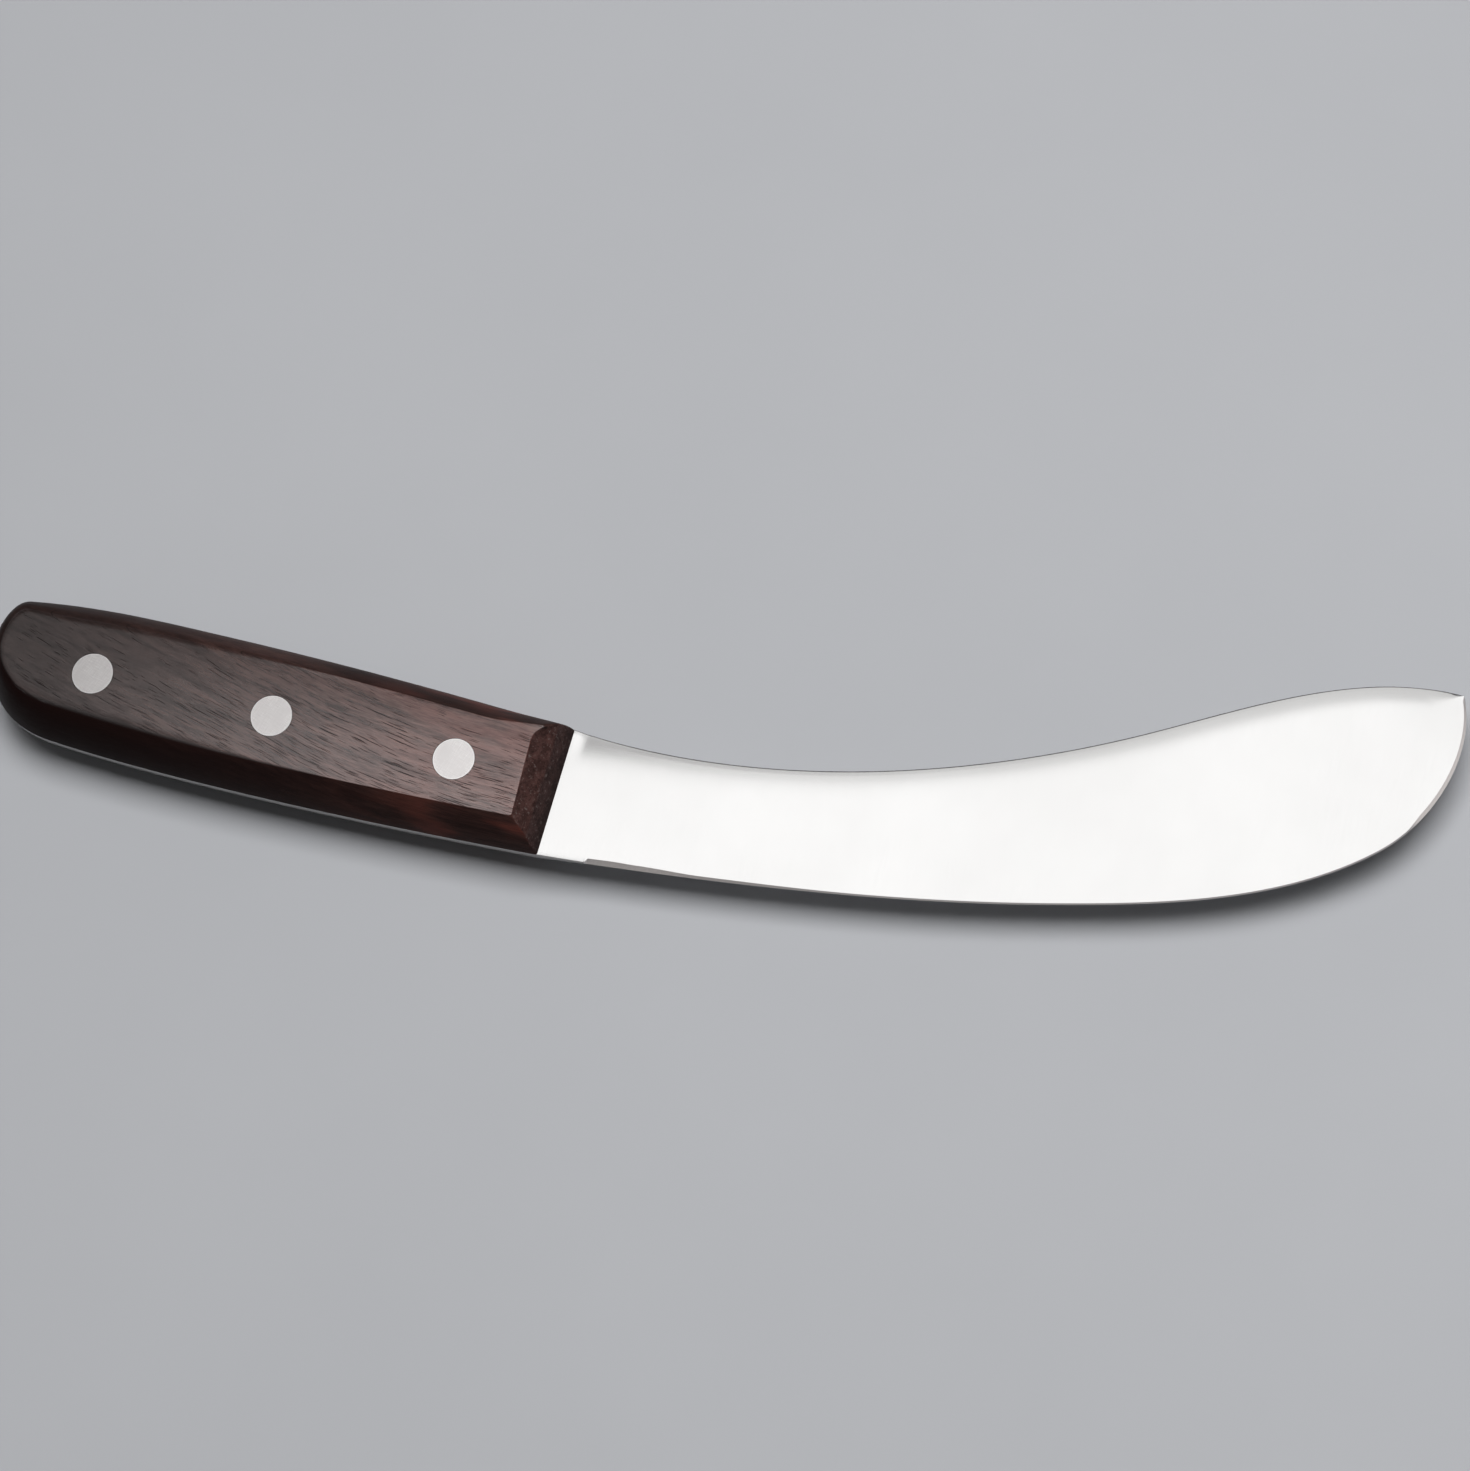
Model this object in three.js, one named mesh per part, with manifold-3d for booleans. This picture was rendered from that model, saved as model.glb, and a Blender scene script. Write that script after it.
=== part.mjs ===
// Kawahagi skinning knife: a full-tang blade, two wooden scales and three two-piece rivets.
// Millimetres, +Z up. The knife lies on its left scale, X runs along the rivet line from the butt
// to the tip, and Y from the cutting edge to the spine. The origin is under the middle of its box.
import * as THREE from 'three';
import { mergeVertices, toCreasedNormals } from 'three/addons/utils/BufferGeometryUtils.js';
import Module from 'manifold-3d';

// Main sizes
const handleLength = 115; // butt to handle front, along the rivet line
const bladeLength = 158.5; // handle front to tip, along the rivet line
const tipRise = 58; // tip above the rivet line
const frontRise = 13; // spine above the rivet line where blade and handle meet
const frontDepth = 12.2; // lower side below the rivet line there

// Blade thickness
const stockThickness = 2.2; // tang, and the spine beside the handle
const tipThickness = 1.0; // spine near the tip
const pointThickness = 0.3; // the very tip
const edgeThickness = 0.5; // just behind the sharpened bevel
const bluntThickness = 0.08; // the cutting edge itself
const grindRunOut = 24; // stretch over which the tang's flat sides turn into the ground faces
const ricassoLength = 9.4; // unsharpened heel ahead of the handle
const bevelStart = 0.5; // stretch in which the bevel reaches its full width
const bevelWidth = 0.8;
const spineRollWidth = 2.3; // polished roll-off along the spine
const spineRollDrop = 0.15;

// Scales
const scaleThickness = 7.9;
const glueFilm = 0.1; // bond between a scale and the tang
const sideWall = 0.7; // height of the upright wall beside the tang
const spineSideInset = 3.5; // from the outline in to the flat, on the spine side
const edgeSideInset = 4.2; // the same on the edge side
const frontSetback = 4.9; // from the handle front back to the flat
const facetSetback = 1.4; // from the handle front back to the crease of the front end
const facetHeight = 4.4; // height of that crease above the tang

// Rivets
const frontRivetInset = 18.6; // handle front to the first rivet
const rearRivetInset = 23.8; // butt to the last rivet
const headDiameter = 8;
const headThickness = 2.5;
const pinDiameter = 3.4;
const barrelWall = 0.7;
const boreFloor = 1; // steel left under the blind bore of a female half
const rivetClearance = 0.1; // round and under each rivet part

// Outline of the handle: where it passes, and its heading there in degrees from +X
const backFront = { rise: frontRise, heading: 176.5 };
const backCrest = { fromFront: 70, rise: 15.3, heading: 180 };
const backCorner = { fromButt: 7, rise: 14, heading: 186 };
const buttTop = { rise: 7.5, heading: 276 };
const bellyFront = { rise: -frontDepth, heading: 183 };
const bellyCrest = { fromFront: 60, rise: -13.9, heading: 180 };
const bellyCorner = { fromButt: 17, rise: -12.7, heading: 175.5 };
const bellyTurn = { fromButt: 6.1, rise: -8.6, heading: 139 };
const buttFoot = { fromButt: 0.5, rise: 3, heading: 96 };

// Outline of the blade, in the same way, with two knots measured back from the tip and down from it
const spineHeel = { heading: -5 };
const spineClimb = { fromTip: 53.5, drop: 20, heading: 28.7 };
const spineTip = { heading: -2.8 };
const edgeHeel = { heading: 5 };
const edgeSweep = { fromTip: 63.5, drop: 56.5, heading: 13.5 };
const edgeBelly = { fromTip: 8.1, drop: 32.5, heading: 43 };
const edgeTip = { heading: 114.8 };

// Fineness of the faceted solids
const stepsAlongSide = 7; // of each long curve of the handle
const stepsAtCorner = 4; // of each half of a butt corner
const stepsAlongBlade = 46;
const stepsRound = 28; // of a rivet
const creaseAngle = THREE.MathUtils.degToRad(25);

// Places that follow from the sizes
const stackThickness = 2 * (scaleThickness + glueFilm) + stockThickness;
const tangMiddle = stackThickness / 2;
const rivetPitch = (handleLength - frontRivetInset - rearRivetInset) / 2;
const rivetPlaces = {
  front: -frontRivetInset,
  middle: -frontRivetInset - rivetPitch,
  rear: -frontRivetInset - 2 * rivetPitch,
};
const pinRadius = pinDiameter / 2;
const boreRadius = pinRadius + rivetClearance;
const barrelRadius = boreRadius + barrelWall;
const headRadius = headDiameter / 2;

const wasm = await Module();
wasm.setup();

const knot = (x, y, heading) => ({
  point: new THREE.Vector2(x, y),
  heading: THREE.MathUtils.degToRad(heading),
});
const handleKnot = ({ fromFront, fromButt = 0, rise, heading }) => {
  const x = fromFront === undefined ? fromButt - handleLength : -fromFront;
  return knot(x, rise, heading);
};
const bladeKnot = ({ fromTip, drop, heading }) => knot(bladeLength - fromTip, tipRise - drop, heading);

// A smooth curve between two knots, with handles a third of the way long
function curveBetween(start, end) {
  const reach = start.point.distanceTo(end.point) / 3;
  const ahead = new THREE.Vector2(Math.cos(start.heading), Math.sin(start.heading)).multiplyScalar(reach);
  const behind = new THREE.Vector2(Math.cos(end.heading), Math.sin(end.heading)).multiplyScalar(reach);
  const leave = start.point.clone().add(ahead);
  const arrive = end.point.clone().sub(behind);
  return new THREE.CubicBezierCurve(start.point, leave, arrive, end.point);
}

const curvesThrough = (knots) => knots.slice(1).map((end, i) => curveBetween(knots[i], end));

// The handle's two sides, each from the front to the butt
const backCurves = curvesThrough([
  knot(0, backFront.rise, backFront.heading),
  handleKnot(backCrest),
  handleKnot(backCorner),
  handleKnot(buttTop),
]);
const bellyCurves = curvesThrough([
  knot(0, bellyFront.rise, bellyFront.heading),
  handleKnot(bellyCrest),
  handleKnot(bellyCorner),
  handleKnot(bellyTurn),
  handleKnot(buttFoot),
]);
const backSteps = [stepsAlongSide, stepsAlongSide, 2 * stepsAtCorner];
const bellySteps = [stepsAlongSide, stepsAlongSide, stepsAtCorner, stepsAtCorner];

// The blade's two sides, each from the handle to the tip
const spineCurve = new THREE.CurvePath();
spineCurve.curves = curvesThrough([
  knot(0, frontRise, spineHeel.heading),
  bladeKnot(spineClimb),
  knot(bladeLength, tipRise, spineTip.heading),
]);
const edgeCurve = new THREE.CurvePath();
edgeCurve.curves = curvesThrough([
  knot(0, -frontDepth, edgeHeel.heading),
  bladeKnot(edgeSweep),
  bladeKnot(edgeBelly),
  knot(bladeLength, tipRise, edgeTip.heading),
]);

// Points along one side of the handle, moved in by inset, from the setback to the butt
function sidePoints(curves, steps, inward, inset, setback) {
  const points = [];
  curves.forEach((curve, number) => {
    const from = number === 0 ? setback / Math.abs(curve.v3.x) : 0;
    for (let step = number === 0 ? 0 : 1; step <= steps[number]; step += 1) {
      const t = from + ((1 - from) * step) / steps[number];
      const along = curve.getTangent(t);
      const across = new THREE.Vector2(-along.y, along.x).multiplyScalar(inward * inset);
      points.push(curve.getPoint(t).add(across));
    }
  });
  points[0].x = -setback;
  return points;
}

const handleOutline = (backInset, bellyInset, setback) => ({
  back: sidePoints(backCurves, backSteps, 1, backInset, setback),
  belly: sidePoints(bellyCurves, bellySteps, -1, bellyInset, setback),
});

// A closed body through rings of points. Each ring runs out along one row and back along another,
// so its two end caps are strips between the rows.
function loft(rings) {
  const count = rings[0].length;
  const triangles = [];
  const quad = (a, b, c, d) => triangles.push(a, b, c, a, c, d);
  for (let ring = 0; ring + 1 < rings.length; ring += 1) {
    const here = ring * count;
    const there = here + count;
    for (let i = 0; i < count; i += 1) {
      const next = (i + 1) % count;
      quad(here + i, here + next, there + next, there + i);
    }
  }
  const last = (rings.length - 1) * count;
  for (let i = 0; i + 1 < count / 2; i += 1) {
    const across = count - 1 - i;
    quad(i, across, across - 1, i + 1);
    quad(last + i, last + i + 1, last + across - 1, last + across);
  }
  const geometry = new THREE.BufferGeometry();
  const positions = rings.flat().flatMap((point) => point.toArray());
  geometry.setAttribute('position', new THREE.Float32BufferAttribute(positions, 3));
  geometry.setIndex(triangles);
  return geometry;
}

// A body turned round the Z axis from a profile of [radius, height] pairs
function turned(profile) {
  const points = profile.map(([radius, height]) => new THREE.Vector2(radius, height));
  return new THREE.LatheGeometry(points, stepsRound).rotateX(Math.PI / 2);
}

const facesInward = (positions, triangles) => {
  const corner = (i) => new THREE.Vector3().fromArray(positions, 3 * i);
  let volume = 0;
  for (let i = 0; i < triangles.length; i += 3) {
    const [a, b, c] = [corner(triangles[i]), corner(triangles[i + 1]), corner(triangles[i + 2])];
    volume += a.dot(b.cross(c));
  }
  return volume < 0;
};

// A solid from a closed geometry: shared vertices merged, collapsed triangles dropped, faces outward
function solid(geometry) {
  geometry.deleteAttribute('normal');
  geometry.deleteAttribute('uv');
  const merged = mergeVertices(geometry);
  const index = merged.index.array;
  const kept = [];
  for (let i = 0; i < index.length; i += 3) {
    const [a, b, c] = [index[i], index[i + 1], index[i + 2]];
    if (a !== b && b !== c && c !== a) kept.push(a, b, c);
  }
  const vertProperties = new Float32Array(merged.attributes.position.array);
  if (facesInward(vertProperties, kept)) kept.reverse();
  return new wasm.Manifold(new wasm.Mesh({ numProp: 3, vertProperties, triVerts: new Uint32Array(kept) }));
}

function meshOf(body, name, material) {
  const { vertProperties, triVerts } = body.getMesh();
  const geometry = new THREE.BufferGeometry();
  geometry.setAttribute('position', new THREE.BufferAttribute(vertProperties, 3));
  geometry.setIndex(new THREE.BufferAttribute(triVerts, 1));
  const mesh = new THREE.Mesh(toCreasedNormals(geometry, creaseAngle), material);
  mesh.name = name;
  return mesh;
}

// Blade and tang

// One section of the steel, from its upper point to its lower one, as two rows of points
function steelSection(upper, lower, half) {
  const width = upper.distanceTo(lower);
  const roll = Math.min(spineRollWidth / Math.max(width, spineRollWidth), 0.3);
  const bevel = Math.min(bevelWidth / Math.max(width, bevelWidth), 0.3);
  const shoulder = 1 - bevel;
  const face = (across) => THREE.MathUtils.lerp(half.spine, half.shoulder, across / shoulder);
  const row = [
    [0, face(0) - half.roll],
    [roll, face(roll)],
    [shoulder / 2, face(shoulder / 2)],
    [shoulder, half.shoulder],
    [1, half.edge],
  ];
  const place = ([across, height], side) => {
    const point = upper.clone().lerp(lower, across);
    return new THREE.Vector3(point.x, point.y, tangMiddle + side * height);
  };
  const right = row.map((entry) => place(entry, 1));
  const left = row.map((entry) => place(entry, -1));
  return [...right, ...left.reverse()];
}

// Half thicknesses of the blade at a share of its length
function bladeHalf(share, ahead, sharpened) {
  const unground = Math.max(0, 1 - ahead / grindRunOut) ** 2;
  const shoulder = THREE.MathUtils.lerp(edgeThickness, stockThickness, unground) / 2;
  return {
    spine: THREE.MathUtils.lerp(stockThickness, tipThickness, share) / 2,
    shoulder,
    edge: sharpened ? bluntThickness / 2 : shoulder,
    roll: spineRollDrop * (1 - unground),
  };
}

const evenHalf = (thickness) => ({
  spine: thickness / 2,
  shoulder: thickness / 2,
  edge: thickness / 2,
  roll: 0,
});

function bladeSections() {
  const heelShare = ricassoLength / edgeCurve.getLength();
  const bevelShare = (ricassoLength + bevelStart) / edgeCurve.getLength();
  const shares = [heelShare / 2, heelShare, bevelShare];
  for (let step = 1; step < stepsAlongBlade; step += 1) {
    shares.push(THREE.MathUtils.lerp(bevelShare, 1, step / stepsAlongBlade));
  }
  const sections = shares.map((share) => {
    const lower = edgeCurve.getPoint(share);
    const half = bladeHalf(share, lower.x, share > heelShare);
    return steelSection(spineCurve.getPoint(share), lower, half);
  });
  const tip = spineCurve.getPoint(1);
  return [...sections, steelSection(tip, tip, evenHalf(pointThickness))];
}

function tangSections() {
  const { back, belly } = handleOutline(0, 0, 0);
  const sections = back.map((point, i) => steelSection(point, belly[i], evenHalf(stockThickness)));
  return sections.reverse();
}

function holeThrough(x) {
  const radius = barrelRadius + rivetClearance;
  const hole = turned([[0, 0], [radius, 0], [radius, stackThickness], [0, stackThickness]]);
  return solid(hole.translate(x, 0, 0));
}

function bladeSolid() {
  const steel = solid(loft([...tangSections(), ...bladeSections()]));
  return Object.values(rivetPlaces).reduce((body, x) => body.subtract(holeThrough(x)), steel);
}

// Scales

// How far the side curves in at a height above the tang, an arc that starts upright
function arcInset(inset, height) {
  const rise = scaleThickness - sideWall;
  const radius = (inset ** 2 + rise ** 2) / (2 * inset);
  const up = Math.max(0, height - sideWall);
  return radius - Math.sqrt(radius ** 2 - up ** 2);
}

function setbackAt(height) {
  if (height <= facetHeight) return (facetSetback * height) / facetHeight;
  const share = (height - facetHeight) / (scaleThickness - facetHeight);
  return THREE.MathUtils.lerp(facetSetback, frontSetback, share);
}

function scaleLevels() {
  const lowerRise = facetHeight - sideWall;
  const upperRise = scaleThickness - facetHeight;
  const lower = [0, sideWall, sideWall + lowerRise / 2, facetHeight];
  const upper = [facetHeight + upperRise / 3, facetHeight + (2 * upperRise) / 3, scaleThickness];
  return [...lower, ...upper];
}

// A rivet's hole through a scale, with the seat of its head
function rivetSeat(x, side) {
  const shank = barrelRadius + rivetClearance;
  const wide = headRadius + rivetClearance;
  const seat = scaleThickness - headThickness - rivetClearance;
  const top = 2 * scaleThickness;
  const hole = turned([[0, -top], [shank, -top], [shank, seat], [wide, seat], [wide, top], [0, top]]);
  if (side < 0) hole.rotateX(Math.PI);
  const base = tangMiddle + side * (stockThickness / 2 + glueFilm);
  return solid(hole.translate(x, 0, base));
}

// The scale on one side of the tang: 1 for the right one, -1 for the left one
function scaleSolid(side) {
  const base = tangMiddle + side * (stockThickness / 2 + glueFilm);
  const rings = scaleLevels().map((height) => {
    const insets = [arcInset(spineSideInset, height), arcInset(edgeSideInset, height)];
    const { back, belly } = handleOutline(...insets, setbackAt(height));
    const ring = [...back, ...belly.reverse()];
    return ring.map((point) => new THREE.Vector3(point.x, point.y, base + side * height));
  });
  const wood = solid(loft(rings));
  return Object.values(rivetPlaces).reduce((body, x) => body.subtract(rivetSeat(x, side)), wood);
}

// Rivets

// The tubular half, with its head in the left scale
function femaleRivet(x) {
  const barrelEnd = stackThickness - headThickness - rivetClearance;
  const floor = headThickness + boreFloor;
  const profile = [
    [0, 0],
    [headRadius, 0],
    [headRadius, headThickness],
    [barrelRadius, headThickness],
    [barrelRadius, barrelEnd],
    [boreRadius, barrelEnd],
    [boreRadius, floor],
    [0, floor],
  ];
  return solid(turned(profile).translate(x, 0, 0));
}

// The solid half, with its head in the right scale and its pin in the barrel
function maleRivet(x) {
  const pinEnd = headThickness + boreFloor + rivetClearance;
  const headSeat = stackThickness - headThickness;
  const profile = [
    [0, pinEnd],
    [pinRadius, pinEnd],
    [pinRadius, headSeat],
    [headRadius, headSeat],
    [headRadius, stackThickness],
    [0, stackThickness],
  ];
  return solid(turned(profile).translate(x, 0, 0));
}

// Materials
const bladeSteel = () => new THREE.MeshStandardMaterial({ color: 0xd9dadb, roughness: 0.22, metalness: 1 });
const darkWood = () => new THREE.MeshStandardMaterial({ color: 0x2b1712, roughness: 0.5, metalness: 0 });
const rivetSteel = () => new THREE.MeshStandardMaterial({ color: 0xb9b9b7, roughness: 0.35, metalness: 1 });

// The assembly
const knife = new THREE.Group();
knife.name = 'kawahagi_knife';
knife.add(meshOf(bladeSolid(), 'blade', bladeSteel()));
knife.add(meshOf(scaleSolid(1), 'right_scale', darkWood()));
knife.add(meshOf(scaleSolid(-1), 'left_scale', darkWood()));
for (const [place, x] of Object.entries(rivetPlaces)) {
  knife.add(meshOf(femaleRivet(x), `${place}_rivet_female`, rivetSteel()));
  knife.add(meshOf(maleRivet(x), `${place}_rivet_male`, rivetSteel()));
}

// The origin goes under the middle of the knife's box
const box = new THREE.Box3().setFromObject(knife);
const middle = box.getCenter(new THREE.Vector3());
knife.position.set(-middle.x, -middle.y, -box.min.z);

export default knife;
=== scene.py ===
import math

import bmesh
import bpy
from mathutils import Matrix, Vector


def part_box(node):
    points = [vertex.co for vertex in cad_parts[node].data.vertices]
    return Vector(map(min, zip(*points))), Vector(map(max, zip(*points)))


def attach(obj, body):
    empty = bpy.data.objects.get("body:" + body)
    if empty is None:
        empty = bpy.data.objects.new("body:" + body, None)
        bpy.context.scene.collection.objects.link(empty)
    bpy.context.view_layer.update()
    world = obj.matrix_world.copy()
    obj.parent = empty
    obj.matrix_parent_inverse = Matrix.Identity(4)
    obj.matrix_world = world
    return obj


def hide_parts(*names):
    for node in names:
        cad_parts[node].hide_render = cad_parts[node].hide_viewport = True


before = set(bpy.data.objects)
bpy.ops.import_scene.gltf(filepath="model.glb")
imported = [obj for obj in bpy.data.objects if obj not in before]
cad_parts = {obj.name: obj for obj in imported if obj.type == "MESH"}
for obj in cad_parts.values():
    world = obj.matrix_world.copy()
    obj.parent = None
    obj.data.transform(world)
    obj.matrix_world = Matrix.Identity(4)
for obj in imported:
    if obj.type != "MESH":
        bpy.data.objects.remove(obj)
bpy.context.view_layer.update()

# Knife coordinates are millimetres: x ahead of the handle front, y above the rivet line towards the
# spine, z above the surface that the knife lies on. The frame says where that is in the scene.
MM = 0.001
right_low, right_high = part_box("right_scale")
left_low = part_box("left_scale")[0]
steel_low, steel_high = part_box("blade")
rivet_low, rivet_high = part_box("front_rivet_male")
FRONT_X = right_high.x
RIVET_Y = (rivet_low.y + rivet_high.y) / 2
HANDLE_LENGTH = (right_high.x - right_low.x) / MM
TANG_TOP = steel_high.z / MM
TANG_BOTTOM = steel_low.z / MM
TANG_MIDDLE = (TANG_TOP + TANG_BOTTOM) / 2
TANG_HALF = (TANG_TOP - TANG_BOTTOM) / 2
RIGHT_FACE = right_high.z / MM
LEFT_FACE = left_low.z / MM
SCALE_HEIGHT = RIGHT_FACE - TANG_TOP
HEAD_RADIUS = (rivet_high.x - rivet_low.x) / 2 / MM

# Outline of the blade and handle
BLADE_LENGTH = 158.5
TIP_RISE = 58.0
FRONT_RISE = 13.0
FRONT_DEPTH = 12.2
# Knots of the outlines: place ahead of the handle front, height above the rivet line, and heading in
# degrees. The handle's sides run from its front to the butt, the blade's from the handle to the tip.
BACK_KNOTS = (
    (0, FRONT_RISE, 176.5),
    (-70, 15.3, 180),
    (5 - HANDLE_LENGTH, 13.2, 190),
    (-HANDLE_LENGTH, 4.2, 265),
)
BELLY_KNOTS = (
    (0, -FRONT_DEPTH, 183),
    (-60, -13.9, 180),
    (17 - HANDLE_LENGTH, -12.7, 175.5),
    (6.1 - HANDLE_LENGTH, -8.6, 139),
    (-HANDLE_LENGTH, 2.4, 93),
)
SPINE_KNOTS = (
    (0, FRONT_RISE, -5),
    (BLADE_LENGTH - 53.5, TIP_RISE - 20, 28.7),
    (BLADE_LENGTH, TIP_RISE, -2.8),
)
EDGE_KNOTS = (
    (0, -FRONT_DEPTH, 5),
    (BLADE_LENGTH - 63.5, TIP_RISE - 56.5, 13.5),
    (BLADE_LENGTH - 8.1, TIP_RISE - 32.5, 43),
    (BLADE_LENGTH, TIP_RISE, 114.8),
)

# Blade section: half thicknesses, radii of its corners, and how its faces are rounded
SPINE_TIP_HALF = 0.5
POINT_HALF = 0.28
EDGE_HALF = 0.25
BLUNT_HALF = 0.03
SPINE_CORNER = 0.28
TANG_CORNER = 0.12
ROLL_SLOPE = 0.08
FACE_CROWN = 0.03
# Distances ahead of the handle: where the rounding by the spine is whole, where the grind is whole,
# the length of the unsharpened heel, and the stretch in which the bevel then comes in
ROLL_START = 3.0
GRIND_RUN_OUT = 24.0
RICASSO = 8.8
BEVEL_RISE = 0.7
# Widths at distances ahead of the handle: of the rounding by the spine, and of the sharpened bevel
ROLL_WIDTHS = ((0, 7.2), (45, 6.2), (80, 5.4), (125, 5.0))
BEVEL_WIDTHS = ((RICASSO, 0.9), (14, 1.0), (19, 0.9), (31, 0.5), (60, 0.3), (125, 0.26), (154.2, 0.24),
                (156.6, 0.75))
# The most that a corner, the bevel and the rounding may take of a section's width
CORNER_LIMIT = 0.2
BEVEL_LIMIT = 0.3
ROLL_LIMIT = 0.4
# Shares of the blade's length where the tip begins and where its last section lies
TIP_FROM = 0.9
TIP_END = 0.9995

# Scale profile
# Marks behind the handle front: how far a side leans over in degrees at the tang and where it meets
# the arris beside the flat, and the radius of that arris
SPINE_SIDE = ((0, 2, 34, 0.3), (16, 12, 47, 0.3), (45, 12, 46, 0.5), (75, 12, 42, 2.5), (95, 12, 38, 3.5),
              (HANDLE_LENGTH, 12, 34, 3.0))
EDGE_SIDE = ((0, 12, 46, 0.3), (35, 12, 48, 0.3), (88, 12, 36, 5.0), (98, 12, 36, 5.0),
             (HANDLE_LENGTH, 12, 34, 3.0))
# Rise of the flat on the rivet line, where it ends on either side, and how steeply it fades below
FLAT_CROWN = 0.16
CROWN_REACH = 10.0
CROWN_FADE = 4
SIDE_HEIGHT = SCALE_HEIGHT - FLAT_CROWN
# Front end: setback and height of its crease, setback of the flat and how that changes across, and
# how soft the crease and the corners are
FACET_SETBACK = 1.9
FACET_HEIGHT = 5.0
FRONT_SETBACK = 5.24
FRONT_SKEW = 0.045
FLARE = 1.86
FLARE_FROM = 6.8
FLARE_TO = 10.4
CREASE_SOFTNESS = 0.15
CORNER_RADIUS = 0.4
# Point that the sides move towards round the butt, and how softly they turn to it
BUTT_FOCUS = 14 - HANDLE_LENGTH
FOCUS_SOFTNESS = 8.0

# Rivets
HEAD_THICKNESS = 2.5
BARREL_RADIUS = 2.5
BORE_RADIUS = 1.8
PIN_RADIUS = 1.7
BORE_FLOOR = 3.5
RIVET_GAP = 0.03
RIM_CHAMFER = 0.06
DRILL_OVERRUN = 2.0
RIVETS = ("front", "middle", "rear")

# Fineness of the meshes: steps along curves, round corners, across a section and along the pieces
QUARTER_TURN = math.pi / 2
CREASE_ANGLE = math.radians(30)
PATH_STEPS = 400
TURN_STEPS = 96
ROUND_STEPS = 5
ROLL_STEPS = 7
FACE_STEPS = 12
# Place of the bevel's shoulder among the points of a section
SHOULDER = 1 + ROUND_STEPS + ROLL_STEPS + FACE_STEPS
HEEL_STEPS = 16
BEVEL_START_STEPS = 14
BLADE_STEPS = 220
TIP_STEPS = 60
# How sections crowd towards the tip, and how far their closer steps reach past the bevel's start
TIP_CROWDING = 1.6
BEVEL_MARGIN = 0.3
TANG_BACK_STEPS = (30, 30, 20)
TANG_BELLY_STEPS = (30, 30, 10, 10)
ARC_STEPS = 18
ARRIS_STEPS = 8
BACK_STEPS = (60, 60, 28)
BELLY_STEPS = (60, 60, 14, 14)
FRONT_STEPS = 36
RUNG_STEPS = FRONT_STEPS + 2 * ROUND_STEPS

# Steel colours, by where they come in the steel's clouds or marks
POLISHED_TONES = ((0.3, (0.62, 0.615, 0.61)), (0.7, (0.65, 0.645, 0.64)))
GROUND_TONES = ((0.3, (0.52, 0.485, 0.47)), (0.7, (0.65, 0.61, 0.595)))
# Sanded tones are darker than bare steel: painted shade for the dark floor and surroundings that narrow
# edges reflect
SANDED_SHADED_TONES = ((0.3, (0.26, 0.25, 0.245)), (0.7, (0.39, 0.38, 0.375)))
# Bright steel, for worn scratches on the rivet heads and for the painted highlight round their rims
WORN_AND_HIGHLIGHT_BRIGHT = (0.98, 0.955, 0.945)
RIVET_TONES = ((0.38, (0.76, 0.73, 0.722)), (0.56, (0.85, 0.82, 0.812)), (0.66, WORN_AND_HIGHLIGHT_BRIGHT))
RIVET_CLOUDS = (0.79, 0.76, 0.752)
# How close the marks on steel lie along the handle, across it and upwards
HAIRLINES = (9.0, 0.25, 1.0)
STONE_MARKS = (14.0, 1.5, 1.0)
SANDING_MARKS = (0.4, 1.0, 9.0)
FINE_SCRATCHES = (0.5, 12.0, 1.0)
STRAY_SCRATCHES = (6.0, 0.5, 1.0)
# Rivet heads: share of the fine scratches in their wear, how far scratches turn from the handle's
# length, as a slope, and where the painted highlight round the rim begins and is full, as shares
# of a head's width from its middle
FINE_SHARE = 0.6
SCRATCH_SLOPE = 0.3
PAINTED_HIGHLIGHT_RIM = (0.462, 0.478)

# Wood colours, by where they come in its grain, the painted shade and pore colour that it darkens
# to, and the red that it turns to
WOOD_TONES = ((0.40, (0.056, 0.027, 0.023)), (0.5, (0.115, 0.055, 0.047)), (0.62, (0.19, 0.095, 0.079)))
WOOD_PAINTED_SHADE = (0.012, 0.0085, 0.008)
RED_WOOD_AND_HIGHLIGHT = (0.19, 0.057, 0.043)
PORE_DARK = (0.008, 0.0045, 0.004)
SIDE_PAINTED_SHADE = (0.0065, 0.0024, 0.0021)
# Places over which the wood's colour changes: painted shade towards the spine and the butt, red
# patches towards the front, partly a painted highlight, and sides whose painted shade is lighter by
# the spine in the rear half
SPINE_SHADE_Y = (-2.0, 10.0)
LIGHTER_X = (-110.0, 5.0)
RED_HIGHLIGHT_X = (-48.0, -8.0)
LIGHT_SIDE_Y = (-3.0, 8.0)
LIGHT_SIDE_X = (-38.0, -62.0)
# How much painted shade darkens it by the spine and at the butt, and how much darker its pores are
SPINE_SHADE = 0.22
BUTT_SHADE = 0.86
PORE_SHADE = 0.85
# How far up a face points, for the polish of the flat, for its colour, which takes painted shade as
# the face tilts away from up, and for the painted light on the front end's upper facet, and how far
# ahead one points on the front end
FLAT_FACING = (0.92, 0.995)
FLAT_COLOUR_FACING = (0.95, 0.998)
HIGH_FACET_FACING = (0.42, 0.62)
FRONT_FACING = (0.35, 0.6)
# The grain runs straight at the front and bends further back: how far behind the front, over what
# reach and by how much, how it sways, and how it dives into the wood, as a slope
BEND_BEHIND = 30.0
BEND_REACH = 20.0
BEND_SLOPE = 0.13
SWAY = 1.6
GRAIN_DIVE = 0.06
# How close streaks, fibres and red patches lie along the grain, across and into it, and the share of
# the streaks in its tone
STREAKS = (0.06, 1.0, 1.0)
FIBRES = (0.07, 1.0, 1.0)
RED_PATCHES = (0.3, 1.0, 1.0)
STREAK_SHARE = 0.6
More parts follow.
